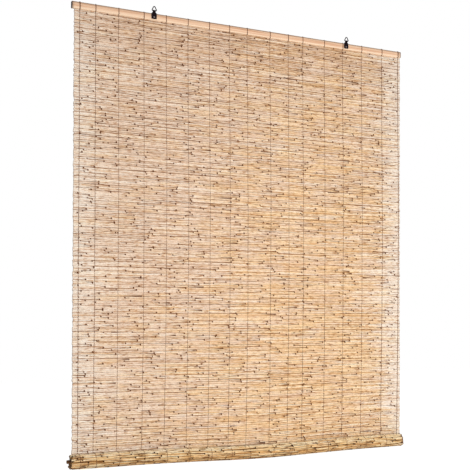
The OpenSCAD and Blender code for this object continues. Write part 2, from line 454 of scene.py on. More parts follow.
def new_material(name: str) -> tuple[bpy.types.Material, Board, bpy.types.Node]:
    """Starts a material.

    Args:
        name: Name of the material.

    Returns:
        The material, a board for its nodes and its main shader.
    """
    material = bpy.data.materials.new(name)
    material.use_nodes = True
    return material, Board(material.node_tree), material.node_tree.nodes["Principled BSDF"]


def dress(piece: bpy.types.Object, material: bpy.types.Material) -> None:
    """Gives a piece one material in place of all it had."""
    piece.data.materials.clear()
    piece.data.materials.append(material)


# ---- finishes


@dataclass(frozen=True)
class ReedFinish:
    """Natural reed: gold to grey tones, sheath patches, dashes, flecks, brown nodes, and painted shade in the
    furrows between reeds.

    Attributes:
        gold, grey: Tones of a golden and of a weathered reed, from dark to pale.
        sheath, dash, stain, scar, furrow: Colours of the marks; the last is painted shade in the valleys
            between reeds.
        tone_swing: How far the fibre pattern moves the tone.
        dash_depth: How far a dash covers the reed.
        fibre, patch, fleck, cloud: Four sizes of the fibre pattern, to the metre along X and across it.
        fleck_shade: Darkest shade of a fleck.
        hue_drift: How far a cloud over several reeds turns them gold or grey.
        fine_edge to scar_edge: Values of a pattern or attribute between which each mark sets in.
        fine_shade, sheath_depth, stain_depth: How far each of these marks goes.
        furrow_break: Share of the painted shade in the furrows that is left where fibres break it.
        roughness: Mean roughness, and how far the fibres move it.
        relief, shine: Strength and depth of the relief, and level of the shine.
    """

    name: str
    gold: Tones
    grey: Tones
    sheath: Colour
    dash: Colour
    stain: Colour
    scar: Colour
    furrow: Colour
    tone_swing: float
    dash_depth: float
    fibre: tuple[float, float] = (54.0, 360.0)
    patch: tuple[float, float] = (26.0, 400.0)
    fleck: tuple[float, float] = (150.0, 440.0)
    cloud: tuple[float, float] = (14.0, 60.0)
    fleck_shade: float = 0.82
    hue_drift: float = 0.36
    fine_edge: tuple[float, float] = (0.32, 0.62)
    fleck_edge: tuple[float, float] = (0.36, 0.58)
    cloud_edge: tuple[float, float] = (0.35, 0.65)
    sheath_edge: tuple[float, float] = (0.6, 0.7)
    dash_edge: tuple[float, float] = (0.56, 0.62)
    furrow_edge: tuple[float, float] = (0.42, 0.56)
    stain_edge: tuple[float, float] = (0.05, 0.4)
    scar_edge: tuple[float, float] = (0.2, 0.65)
    fine_shade: float = 0.94
    sheath_depth: float = 0.8
    stain_depth: float = 0.8
    furrow_break: float = 0.5
    roughness: tuple[float, float] = (0.7, 0.12)
    relief: tuple[float, float] = (0.35, 0.4 * MM)
    shine: float = 0.04

    def material(self) -> bpy.types.Material:
        """Draws the finish from the mesh's attributes and four sizes of the fibre pattern.

        Returns:
            The material.
        """
        material, board, shader = new_material(self.name)
        broad, sheath = board.fibre(*self.patch)
        streak, fine = board.fibre(*self.fibre)
        fleck, cloud = board.fibre(*self.fleck)[0], board.fibre(*self.cloud)[0]
        swing = board.math("ADD", board.span(broad, *NOISE, -1.0, 1.0), board.span(streak, *NOISE, 1.0, -1.0))
        tone = board.math("ADD", board.attribute("tone"), board.math("MULTIPLY", swing, self.tone_swing))
        drift = board.span(cloud, *self.cloud_edge, -self.hue_drift, self.hue_drift)
        hue = board.math("ADD", board.attribute("hue"), drift)
        colour = board.mix(hue, board.ramp(tone, self.gold), board.ramp(tone, self.grey))
        colour = board.shade(colour, board.span(fine, *self.fine_edge, self.fine_shade, 1.0))
        colour = board.shade(colour, board.span(fleck, *self.fleck_edge, self.fleck_shade, 1.0))
        colour = board.mix(board.span(sheath, *self.sheath_edge, 0.0, self.sheath_depth), colour, self.sheath)
        colour = board.mix(board.span(streak, *self.dash_edge, 0.0, self.dash_depth), colour, self.dash)
        # Painted shade in the furrows between reeds, broken into dashes by the fibres.
        broken = board.span(streak, *self.furrow_edge, self.furrow_break, 1.0)
        colour = board.mix(board.math("MULTIPLY", board.attribute("furrow"), broken), colour, self.furrow)
        colour = board.mix(board.attribute("tail"), colour, self.stain)
        scar = board.attribute("scar")
        colour = board.mix(board.span(scar, *self.stain_edge, 0.0, self.stain_depth), colour, self.stain)
        colour = board.mix(board.span(scar, *self.scar_edge, 0.0, 1.0), colour, self.scar)
        mean, swing_rough = self.roughness
        rough = board.span(fine, *NOISE, mean - swing_rough, mean + swing_rough)
        board.coat(shader, colour, rough, fine, self.relief, self.shine)
        return material


@dataclass(frozen=True)
class PineFinish:
    """Planed softwood: pale grain along X, painted light low on the face, painted shade towards the top, and
    dark at both sawn ends from end grain and painted shade.

    Attributes:
        pale, ring, end_grain: Colours of the wood; worn: colour of the painted light low on the face.
        half_length, top, front: Where the lath ends along X, in Z and in -Y.
        grain: Fibres to the metre along X and across it.
        low_light_band, shade_band, line_band: Depths below the top between which each tone grows.
        line_reach: Depths behind the front between which the painted shade line fades.
        stain_and_shade_reach, sawn_reach: Depths inside the ends between which each dark band grows, end
            grain darkened further as painted shade.
        shade, line_shade: Levels of the painted shade towards the top and of the painted shade line along the
            front's upper edge.
        line_left: Share of the painted shade line that is left behind the edge.
        stain, sawn: Shares of the dark end grain colour, partly painted shade, in those bands.
    """

    name: str
    pale: Colour
    ring: Colour
    end_grain: Colour
    low_light: Colour
    half_length: float
    top: float
    front: float
    grain: tuple[float, float] = (5.0, 260.0)
    low_light_band: tuple[float, float] = (21 * MM, 13 * MM)
    shade_band: tuple[float, float] = (13 * MM, 5 * MM)
    line_band: tuple[float, float] = (5.5 * MM, 2.5 * MM)
    line_reach: tuple[float, float] = (-1.5 * MM, -4.5 * MM)
    stain_and_shade_reach: tuple[float, float] = (10 * MM, 4 * MM)
    sawn_reach: tuple[float, float] = (3.5 * MM, 1.5 * MM)
    shade: float = 0.87
    line_shade: float = 0.46
    line_left: float = 0.3
    stain: float = 0.35
    sawn: float = 0.65

    def material(self) -> bpy.types.Material:
        """Draws the grain from the fibre pattern, darkens it towards the ends with end grain and painted
        shade, paints shade towards the top edge and paints light low on the face.

        Returns:
            The material.
        """
        material, board, shader = new_material(self.name)
        streak, fine = board.fibre(*self.grain)
        x, y, z = board.add("ShaderNodeSeparateXYZ", {0: board.place()}).outputs

        def near(place: Socket, edge: float, band: tuple[float, float], far: float, close: float) -> Socket:
            """Goes from one level far inside an edge to another close to it."""
            return board.span(place, edge - band[0], edge - band[1], far, close)

        colour = board.ramp(streak, ((0.36, self.ring), (0.54, self.pale)))
        colour = board.shade(colour, board.span(fine, 0.3, 0.65, 0.92, 1.0))
        # Painted light low on the face.
        colour = board.mix(near(z, self.top, self.low_light_band, 1.0, 0.0), colour, self.low_light)
        # Painted shade towards the top.
        colour = board.shade(colour, near(z, self.top, self.shade_band, 1.0, self.shade))
        # Painted shade line along the front's upper edge.
        behind = near(y, self.front, self.line_reach, 1.0, self.line_left)
        dusk = board.math("MULTIPLY", near(z, self.top, self.line_band, 0.0, 1.0), behind)
        colour = board.shade(colour, board.span(dusk, 0.0, 1.0, 1.0, self.line_shade))
        # Dark ends: end grain colour, partly painted shade on the ends.
        out = board.math("ABSOLUTE", x)
        stain = near(out, self.half_length, self.stain_and_shade_reach, 0.0, self.stain)
        sawn = near(out, self.half_length, self.sawn_reach, 0.0, self.sawn)
        colour = board.mix(board.math("ADD", stain, sawn), colour, self.end_grain)
        rough = board.span(fine, *NOISE, 0.5, 0.68)
        board.coat(shader, colour, rough, streak, relief=(0.25, 0.5 * MM), shine=0.3)
        return material


@dataclass(frozen=True)
class TwineFinish:
    """Brown twine: two plies laid round each other, read from the UV map."""

    name: str
    dark: Colour
    light: Colour
    ply_pitch: float = 2.2 * MM
    plies: float = 2.0

    def material(self) -> bpy.types.Material:
        """Draws slanting plies as a sine of turns plus metres along.

        Returns:
            The material.
        """
        material, board, shader = new_material(self.name)
        uv = board.add("ShaderNodeUVMap", uv_map="UVMap").outputs["UV"]
        along, round_it = board.add("ShaderNodeSeparateXYZ", {0: uv}).outputs[:2]
        laid = board.math("MULTIPLY", along, 1.0 / self.ply_pitch)
        turns = board.math("ADD", laid, board.math("MULTIPLY", round_it, self.plies))
        wave = board.math("SINE", board.math("MULTIPLY", turns, 2.0 * math.pi))
        ply = board.span(wave, -1.0, 1.0, 0.0, 1.0)
        fuzz = board.noise(900.0, 2.0)
        share = board.math("MULTIPLY", ply, board.span(fuzz, *NOISE, 0.6, 1.0))
        rough = board.span(fuzz, *NOISE, 0.75, 0.95)
        board.coat(shader, board.mix(share, self.dark, self.light), rough, ply, relief=(0.5, 0.2 * MM))
        return material


@dataclass(frozen=True)
class StickFinish:
    """Dark round stick with bark fibres along X."""

    name: str
    bark: Colour
    light: Colour
    grain: tuple[float, float] = (14.0, 380.0)

    def material(self) -> bpy.types.Material:
        """Draws bark from the fibre pattern.

        Returns:
            The material.
        """
        material, board, shader = new_material(self.name)
        streak, fine = board.fibre(*self.grain)
        colour = board.ramp(streak, ((0.36, self.bark), (0.64, self.light)))
        rough = board.span(fine, *NOISE, 0.45, 0.75)
        board.coat(shader, colour, rough, fine, relief=(0.4, 0.4 * MM), shine=0.1)
        return material


@dataclass(frozen=True)
class MetalFinish:
    """Metal with a mottled coat."""

    name: str
    low: Colour
    high: Colour
    metallic: float
    rough: tuple[float, float]
    shine: float

    def material(self) -> bpy.types.Material:
        """Mottles colour and roughness with fine noise.

        Returns:
            The material.
        """
        material, board, shader = new_material(self.name)
        mottle = board.noise(650.0, 4.0)
        colour = board.ramp(mottle, ((0.35, self.low), (0.68, self.high)))
        rough = board.span(mottle, *NOISE, *self.rough)
        board.coat(shader, colour, rough, mottle, relief=(0.15, 0.2 * MM), shine=self.shine)
        shader.inputs["Metallic"].default_value = self.metallic
        return material


BLEACHED_REED = ReedFinish(
    "bleached_reed",
    gold=tones((208, 160, 110), (234, 192, 144), (247, 213, 169), (253, 226, 187), (255, 241, 215)),
    grey=tones((198, 166, 140), (228, 198, 172), (242, 217, 195), (249, 230, 211), (254, 243, 230)),
    sheath=paint(206, 148, 92),
    dash=paint(166, 108, 52),
    stain=paint(104, 56, 14),
    scar=paint(90, 45, 6),
    furrow=paint(116, 66, 20),
    tone_swing=0.1,
    dash_depth=0.58,
)
GOLDEN_REED = ReedFinish(
    "golden_reed",
    gold=tones((176, 122, 66), (221, 172, 112), (243, 202, 146), (250, 219, 168), (253, 236, 200)),
    grey=tones((166, 122, 82), (207, 160, 112), (231, 190, 144), (246, 215, 178), (250, 232, 206)),
    sheath=paint(176, 120, 68),
    dash=paint(104, 64, 32),
    stain=paint(96, 50, 14),
    scar=paint(34, 14, 2),
    furrow=paint(58, 30, 10),
    tone_swing=0.25,
    dash_depth=1.0,
    fibre=(24.0, 400.0),
)
WARP_TWINE = TwineFinish("warp_twine", dark=paint(88, 45, 22), light=paint(140, 87, 48))
DARK_STICK = StickFinish("dark_stick", bark=paint(66, 44, 30), light=paint(126, 88, 56))
BLACK_LACQUER = MetalFinish(
    "black_lacquer", low=paint(14, 7, 12), high=paint(30, 17, 25), metallic=0.0, rough=(0.42, 0.6), shine=0.05
)
ZINC = MetalFinish(
    "zinc_plate", low=paint(92, 84, 86), high=paint(140, 130, 132), metallic=0.7, rough=(0.4, 0.6), shine=0.4
)


# ---- the mat


@dataclass
class Course:
    """The middle of the mat, row by row.

    Attributes:
        middle: Y and Z by row and share of the row.
        face: Unit direction to the mat's front at the same places.
        tall: Height of each row.
    """

    middle: Array
    face: Array
    tall: Array

    def joined(self, other: "Course") -> "Course":
        """Gives this course followed by another."""
        return Course(
            np.concatenate([self.middle, other.middle]),
            np.concatenate([self.face, other.face]),
            np.concatenate([self.tall, other.tall]),
        )

    def first(self, rows: int) -> "Course":
        """Gives the first rows of this course."""
        return Course(self.middle[:rows], self.face[:rows], self.tall[:rows])


@dataclass(frozen=True)
class Sag:
    """How the heavy roll hangs through: deepest near the middle, and only in the lower part of the mat."""

    depth: float = 9 * MM
    middle: float = 0.03
    width: float = 0.27
    right_drop: float = 3 * MM
    from_z: float = -0.85
    full_z: float = -1.39
    half_width: float = 0.6
    flare: tuple[float, float] = (6.5 * MM, -3.5 * MM)

    def settle(self, points: Array) -> Array:
        """Lets points hang as the mat does.

        They drop by a bell along X that grows with the square of the way down to the roll, and the
        right side, growing with X, stands out at the top and draws in at the bottom.

        Args:
            points: Points, the last axis being X, Y and Z.

        Returns:
            The settled points.
        """
        x, z = points[..., 0], points[..., 2]
        way_down = np.clip((self.from_z - z) / (self.from_z - self.full_z), 0, 1) ** 2
        right = np.clip(x / self.half_width, 0, 1)
        drop = self.depth * np.exp(-(((x - self.middle) / self.width) ** 2)) + self.right_drop * right
        spread = right * np.interp(z, [self.full_z, 0.0], self.flare[::-1])
        return np.stack([x + spread, points[..., 1], z - way_down * drop], -1)


SAG = Sag()


@dataclass
class Rings:
    """What every ring of every reed carries, as arrays of reeds by rings.

    Attributes:
        x: Place along X.
        girth: Share of the reed's radius.
        scar: Brown at a node or a cut end.
        streak: Brown along one edge, running up to a node.
    """

    x: Array
    girth: Array
    scar: Array
    streak: Array

    def parts(self) -> tuple[Array, ...]:
        """Lists the arrays in the order of the fields."""
        return (self.x, self.girth, self.scar, self.streak)

    @staticmethod
    def joined(*groups: "Rings") -> "Rings":
        """Sets groups of rings side by side along each reed."""
        return Rings(*(np.concatenate(part, axis=1) for part in zip(*(group.parts() for group in groups))))

    def sorted(self) -> "Rings":
        """Puts each reed's rings in order along X."""
        order = np.argsort(self.x, axis=1, kind="stable")
        return Rings(*(np.take_along_axis(part, order, 1) for part in self.parts()))


@dataclass(frozen=True)
class NodeForm:
    """Rings and marks at a node.

    Attributes:
        tail_run: Least and greatest length of the brown tail that runs up to a node.
        tail_full, tail_fade: Share of that length where the tail is nearly full, and how full.
        marks, mark_odds: Depths of a scar, and how often each comes.
        lines, line_odds: Depths of a tail in its scar's, and how often each comes.
        tail_end, scar_at, clean_at: Where the tail, the scar and the stained skin lie by the node.
        swell: Girth at the scar.
    """

    tail_run: tuple[float, float] = (9 * MM, 38 * MM)
    tail_full: float = 0.6
    tail_fade: float = 0.95
    marks: tuple[float, ...] = (0.65, 0.9, 1.0)
    mark_odds: tuple[float, ...] = (0.2, 0.25, 0.55)
    lines: tuple[float, ...] = (0.0, 0.8, 1.0)
    line_odds: tuple[float, ...] = (0.12, 0.33, 0.55)
    tail_end: float = -3.9 * MM
    scar_at: float = -0.5 * MM
    clean_at: float = 3.0 * MM
    swell: float = 1.1


@dataclass(frozen=True)
class TipForm:
    """Rings and marks where one reed runs out and the next begins.

    Attributes:
        share: Share of the reeds that run out along the way.
        clear: Length at both ends of the mat where none does.
        thin, run: Least and greatest loss of girth, and length over which it grows.
        scar, butt_scar: Brown of the tip and of the next reed's butt.
        butt_at, clean_at: Where the butt and the clean skin lie past the tip.
        swell: How far the butt is thicker.
    """

    share: float = 0.4
    clear: float = 80 * MM
    thin: tuple[float, float] = (0.08, 0.22)
    run: tuple[float, float] = (20 * MM, 80 * MM)
    scar: float = 0.5
    butt_scar: float = 0.8
    butt_at: float = 0.8 * MM
    clean_at: float = 3.6 * MM
    swell: float = 0.06


@dataclass
class ReedRows:
    """Builds one reed for each row of a course.

    A reed is a tube along X with eight sides and open hollow ends. It is straight between its
    nodes and bends a little at each. Its radius tapers from butt to tip, swells at the nodes and
    shrinks where one reed runs out and the next begins.

    Attributes:
        seed: Seed of the scatter.
        left, right, deep: Ends of the reeds, and half their depth.
        ragged, hollow: How unevenly the ends are cut, and how deep they are open.
        nodes, node_stray, clear_end: Nodes of a reed, their scatter, and the end that stays free of them.
        ways: Shares of reeds that grow to the left and to the right.
        lap, flat, taper: Height of a reed in its row, depth in its height, and loss of girth to the tip.
        node, tip: Forms of the nodes and tips.
        bore: Girth inside the hollow and at its rim.
        bend, bend_out, stagger: Bend at a node, its share out of the mat, and the step from row to row.
        row_spread, tone_spread, half_spread: Spread of tone by reed, internode and half of an internode.
        tone_jitter, jitter_step: Change of tone from place to place, and the length of a place.
        mark_reach, tail_reach: How far round the reed a scar and a tail go.
        end_scar, hollow_scar_and_shade, end_stain: Brown of a cut; brown of its hollow, deepened as painted
        shade inside it; and the length of the end's brown.
        end_margin: How far past its hollow a cut end is marked all round.
        grey_share, grey_range, grey_odds: Weathering of all reeds, and its least, spread and odds.
        grey_slope: Greyer hue towards the top and towards the left.
        grey_slope_left: That to the left at the middle of the mat, and its growth to the metre.
        pale_edge, pale_fade: Length of the bleached ends, and the share of it where they fade.
        pale_lift, pale_grey: Tone of the bleached ends at the left and right, and their grey.
        dark_from, dark_furrow, faint_furrow, first_furrow: Which furrows carry dark painted shade between
        reeds, and how dark; the first row's is a painted shadow line under the batten on the hanging mat.
        furrow_slope: How fast that painted shade darkens round the reed towards its lower side, and how late.
        shaded_top, shaded_reach: Shade under the batten, and how far down it goes.
        foot_lift, foot_reach: Light on the lowest rows, and how far up it goes.
        top_lift, top_dusk: Painted light, and dark painted shade in the furrows, on rows that face upwards.
    """

    seed: int
    left: float
    right: float
    deep: float
    ragged: float = 2.5 * MM
    hollow: float = 4.0 * MM
    nodes: int = 8
    node_stray: float = 0.42
    clear_end: float = 7 * MM
    ways: tuple[float, float] = (0.22, 0.78)
    sides: int = 8
    lap: float = 1.18
    flat: tuple[float, float] = (0.86, 0.97)
    taper: float = 0.06
    node: NodeForm = NodeForm()
    tip: TipForm = TipForm()
    bore: tuple[float, float] = (0.55, 0.64)
    bend: float = 0.3 * MM
    bend_out: float = 0.4
    stagger: float = 0.3 * MM
    row_spread: float = 0.01
    tone_spread: float = 0.04
    half_spread: float = 0.46
    tone_jitter: float = 0.1
    jitter_step: float = 25 * MM
    mark_reach: float = 0.78
    tail_reach: float = 0.04
    end_scar: float = 0.12
    hollow_scar_and_shade: float = 0.6
    end_stain: float = 1.5 * MM
    end_margin: float = 1 * MM
    grey_share: float = 1.0
    grey_range: tuple[float, float] = (0.16, 0.55)
    grey_odds: tuple[float, float] = (1.0, 1.7)
    grey_slope: tuple[float, float] = (0.5, 0.6)
    grey_slope_left: tuple[float, float] = (0.3, 2.0)
    pale_edge: float = 85 * MM
    pale_fade: float = 0.4
    pale_lift: tuple[float, float] = (0.42, 0.68)
    pale_grey: float = 0.75
    dark_from: float = 0.25
    dark_furrow: tuple[float, float] = (0.6, 1.0)
    faint_furrow: tuple[float, float] = (0.0, 0.3)
    first_furrow: float = 0.7
    furrow_slope: tuple[float, float] = (1.6, 0.2)
    shaded_top: float = 0.2
    shaded_reach: float = 0.16
    foot_lift: float = 0.0
    foot_reach: float = 45 * MM
    top_lift: float = 0.0
    top_dusk: float = 0.0
    rng: np.random.Generator = field(init=False)

    def __post_init__(self) -> None:
        """Seeds the scatter."""
        self.rng = np.random.default_rng(self.seed)

    @property
    def span(self) -> float:
        """Length of a reed."""
        return self.right - self.left

    @property
    def turn(self) -> Array:
        """Angle of each side, from the mat's front downwards."""
        return np.linspace(0, 2 * np.pi, self.sides, endpoint=False)

    def contrast(self, rows: int, places: int) -> Array:
        """Scatters light and dark so that a row tends to differ from the rows above and below.

        Normal noise, less half the sum of the same noise one row up and one row down, brought back to
        a spread of 1.

        Args:
            rows: Number of rows.
            places: Number of places along each row.

        Returns:
            The scatter, by row and place.
        """
        noise = self.rng.normal(0, 1, (rows + 2, places))
        return (noise[1:-1] - 0.5 * (noise[:-2] + noise[2:])) / 1.5**0.5

    def node_rings(self, node_x: Array, way: Array) -> Rings:
        """Sets five rings about each node: three along its tail, then the scar and the clean skin past it.

        Args:
            node_x: Places of the nodes, by reed.
            way: 1 or -1 for the way that each reed grows.

        Returns:
            The rings of all nodes.
        """
        rng, shape = self.rng, node_x.shape
        form = self.node
        tail = rng.uniform(*form.tail_run, shape)
        mark = rng.choice(form.marks, shape, p=form.mark_odds)
        line = mark * rng.choice(form.lines, shape, p=form.line_odds)
        none, one = np.zeros(shape), np.ones(shape)
        table = (
            (-tail, one, none, none),
            (-form.tail_full * tail, one, none, form.tail_fade * line),
            (form.tail_end * one, one, none, line),
            (form.scar_at * one, form.swell * one, mark, line),
            (form.clean_at * one, one, none, none),
        )
        return Rings.joined(*(Rings(node_x + way * shift, *rest) for shift, *rest in table))

    def tip_rings(self, count: int, way: Array) -> Rings:
        """Sets four rings where a reed runs out to a thin tip against the butt of the next.

        Args:
            count: Number of reeds.
            way: 1 or -1 for the way that each reed grows.

        Returns:
            The rings; in most reeds they change nothing.
        """
        rng, form, one = self.rng, self.tip, np.ones((count, 1))
        place = rng.uniform(self.left + form.clear, self.right - form.clear, (count, 1))
        tipped = (rng.random((count, 1)) < form.share) * one
        thin = 1.0 - tipped * rng.uniform(*form.thin, (count, 1))
        run = rng.uniform(*form.run, (count, 1))
        none = 0.0 * one
        return Rings.joined(
            Rings(place - way * run, one, none, none),
            Rings(place, thin, form.scar * tipped, none),
            Rings(place + way * form.butt_at, 1.0 + form.swell * tipped, form.butt_scar * tipped, none),
            Rings(place + way * form.clean_at, one, none, none),
        )

    def end_rings(self, cut: Array, inward: float) -> Rings:
        """Sets the four rings of an open end: inside the hollow, inner rim, outer rim and clean skin.

        Args:
            cut: Place of each reed's cut.
            inward: 1 at the left end and -1 at the right.

        Returns:
            The rings in order along X.
        """
        one, none = np.ones_like(cut), np.zeros_like(cut)
        rings = [
            # Inside the hollow: brown, deepened as painted shade.
            Rings(cut + inward * self.hollow, self.bore[0] * one, self.hollow_scar_and_shade * one, none),
            Rings(cut, self.bore[1] * one, self.end_scar * one, none),
            Rings(cut, one, self.end_scar * one, none),
            Rings(cut + inward * self.end_stain, one, none, none),
        ]
        return Rings.joined(*rings[:: int(inward)])

    def layout(self, count: int) -> tuple[Rings, Array, Array]:
        """Sets all rings of all reeds in order along X.

        Args:
            count: Number of reeds.

        Returns:
            The rings, the places of the nodes, and 1 or -1 for the way that each reed grows.
        """
        rng, stray = self.rng, self.node_stray
        way = rng.choice([-1.0, 1.0], (count, 1), p=self.ways)
        step = np.arange(self.nodes) + 0.5 + rng.uniform(-stray, stray, (count, self.nodes))
        node_x = self.left + self.span * step / self.nodes
        inner = Rings.joined(self.node_rings(node_x, way), self.tip_rings(count, way))
        inner.x = np.clip(inner.x, self.left + self.clear_end, self.right - self.clear_end)
        cut_left = self.left + rng.uniform(0, self.ragged, (count, 1))
        cut_right = self.right - rng.uniform(0, self.ragged, (count, 1))
        ring = Rings.joined(self.end_rings(cut_left, 1.0), inner.sorted(), self.end_rings(cut_right, -1.0))
        return ring, node_x, way

    def skin(self, course: Course, ring: Rings, node_x: Array, number: Array, way: Array) -> Array:
        """Lays the skin of the reeds.

        A point is the middle of its row, plus half the reed's depth times the cosine of the turn
        towards the front, plus half its height times the sine downwards, plus the bends, which are
        straight from node to node.

        Args:
            course: Rows to fill.
            ring: Rings of the reeds.
            node_x: Places of the nodes.
            number: Internode of each ring.
            way: 1 or -1 for the way that each reed grows.

        Returns:
            The points, by reed, ring and side.
        """
        rng, count = self.rng, len(ring.x)
        ends = [np.full((count, 1), end) for end in (self.left, self.right)]
        knots = np.concatenate([ends[0], node_x, ends[1]], 1)
        start, stop = (np.take_along_axis(knots, number + k, 1) for k in (0, 1))
        share = (ring.x - start) / (stop - start)
        bends = rng.normal(0, self.bend, (2, count, self.nodes + 2))
        out_bend, down_bend = (
            np.take_along_axis(bend, number, 1) * (1 - share)
            + np.take_along_axis(bend, number + 1, 1) * share
            for bend in np.clip(bends, -2 * self.bend, 2 * self.bend)
        )
        middle, face = course.middle[:, ROW_CENTRE], course.face[:, ROW_CENTRE]
        down = np.stack([-face[:, 1], face[:, 0]], -1)
        to_tip = way * (1.0 - 2.0 * (ring.x - self.left) / self.span)
        girth = (ring.girth * (1.0 + self.taper * to_tip))[:, :, None]
        deep = self.deep * rng.uniform(*self.flat, (count, 1, 1)) * girth
        tall = 0.5 * self.lap * course.tall[:, None, None] * girth
        step_out = self.stagger * np.where(np.arange(count) % 2, 1.0, -1.0)[:, None]
        out = deep * np.cos(self.turn) + (self.bend_out * out_bend + step_out)[:, :, None]
        fall = tall * np.sin(self.turn) + down_bend[:, :, None]
        outward = middle[:, None, None] + out[..., None] * face[:, None, None]
        flat = outward + fall[..., None] * down[:, None, None]
        return np.concatenate([np.broadcast_to(ring.x[:, :, None, None], (*out.shape, 1)), flat], -1)

    def marks(self, course: Course, ring: Rings, number: Array) -> dict[str, Array]:
        """Scatters what colours the reeds, painted shade between them included, by internode, place and turn.

        Args:
            course: Rows to fill.
            ring: Rings of the reeds.
            number: Internode of each ring.

        Returns:
            Tone, hue, scar, tail and furrow (painted shade between reeds), each by reed, ring and side.
        """
        rng, count, x = self.rng, len(ring.x), ring.x[:, :, None]
        inters = (count, self.nodes + 1)
        up = np.clip(-course.face[:, ROW_CENTRE, 1:], 0, 1)
        tone = rng.normal(0.5, self.row_spread, (count, 1)) + rng.normal(0, self.tone_spread, inters)
        least, spread = self.grey_range
        hue = self.grey_share * (least + spread * rng.beta(*self.grey_odds, inters))
        dark = self.contrast(*inters) > self.dark_from
        dusk = np.where(dark, rng.uniform(*self.dark_furrow, inters), rng.uniform(*self.faint_furrow, inters))
        # Painted shadow line under the batten along the first row.
        dusk[0] = self.first_furrow
        dusk = np.maximum(dusk, self.top_dusk * up)
        half = rng.normal(0, self.half_spread, inters)
        tone, hue, dusk, half = (
            np.take_along_axis(part, number, 1)[:, :, None] for part in (tone, hue, dusk, half)
        )
        height = np.linspace(0.5, -0.5, count)[:, None, None]
        leftness = np.clip(self.grey_slope_left[0] - self.grey_slope_left[1] * x, 0, 1)
        hue = hue + self.grey_slope[0] * height + self.grey_slope[1] * leftness
        from_end = np.minimum(x - self.left, self.right - x)
        pale = np.clip((self.pale_edge - from_end) / (self.pale_fade * self.pale_edge), 0, 1)
        below = np.arange(count) * course.tall.mean()
        foot = np.clip(1.0 - below[::-1] / self.foot_reach, 0, 1)
        lift = pale * np.where(x < 0, *self.pale_lift)
        lift = lift + (self.top_lift * up[:, 0] + self.foot_lift * foot)[:, None, None]
        shaded = self.shaded_top * np.clip(1.0 - below / self.shaded_reach, 0, 1)[:, None, None]
        places = int(self.span / self.jitter_step)
        bins = np.clip((ring.x - self.left) / self.jitter_step, 0, places - 1).astype(int)
        jitter = self.tone_jitter * np.take_along_axis(self.contrast(count, places), bins, 1)[:, :, None]
        slope = np.sin(self.turn)
        marked = rng.choice([1.0, -1.0], (count, 1, 1)) * slope
        # Painted shade of the furrows, on each reed's lower side.
        steep, late = self.furrow_slope
        at_end = (from_end < self.hollow + self.ragged + self.end_margin).astype(float)
        return {
            "tone": np.clip(tone + jitter + lift - shaded + half * slope, 0, 1),
            "hue": np.clip(hue + self.pale_grey * pale, 0, 1) * np.ones(self.sides),
            "scar": ring.scar[:, :, None] * np.maximum(np.clip(self.mark_reach + marked, 0, 1), at_end),
            "tail": ring.streak[:, :, None] * np.clip(self.tail_reach + marked, 0, 1),
            "furrow": dusk * np.clip(steep * slope - late, 0, 1),
        }

    def build(self, name: str, course: Course) -> bpy.types.Object:
        """Builds the reeds of a course as one piece.

        Args:
            name: Name of the piece.
            course: Rows to fill.

        Returns:
            The new object, with the attributes tone, hue, scar, tail and furrow, the last being painted shade
            between reeds.
        """
        ring, node_x, way = self.layout(len(course.tall))
        number = (ring.x[:, :, None] > node_x[:, None, :]).sum(2)
        points = self.skin(course, ring, node_x, number, way)
        marks = self.marks(course, ring, number)
        size = (*ring.x.shape, self.sides)
        return mesh_object(name, SAG.settle(points), tube_quads(*size), tube_caps(*size), marks)


@dataclass
class ReedMat:
    """The hanging part of the mat, from the batten down to the roll."""

    pitch: float = 5.9 * MM
    stray: float = 0.2
    seed: int = 11

    def course(self) -> Course:
        """Spreads rows of uneven height down the CAD wall.

        Returns:
            The rows, from the batten down.
        """
        low, high = box_of("reed_mat")
        rows = round((high[2] - low[2]) / self.pitch)
        tall = 1.0 + self.stray * np.random.default_rng(self.seed).uniform(-1, 1, rows)
        tall *= (high[2] - low[2]) / tall.sum()
        upper = high[2] - np.concatenate([[0.0], np.cumsum(tall)[:-1]])
        z = upper[:, None] - tall[:, None] * ROW_SHARES
        y = np.full_like(z, (low[1] + high[1]) / 2)
        face = np.broadcast_to(np.array([-1.0, 0.0]), (*z.shape, 2))
        return Course(np.stack([y, z], -1), face, tall)

    def build(self, course: Course) -> bpy.types.Object:
        """Fills the rows with bleached reeds.

        Args:
            course: Rows to fill.

        Returns:
            The piece.
        """
        low, high = box_of("reed_mat")
        deep = (high[1] - low[1]) / 2
        reeds = ReedRows(self.seed, low[0], high[0], deep, foot_lift=0.25)
        piece = reeds.build("reeds_hanging", course)
        return finished(piece, BLEACHED_REED.material(), BODY, "reed_mat")


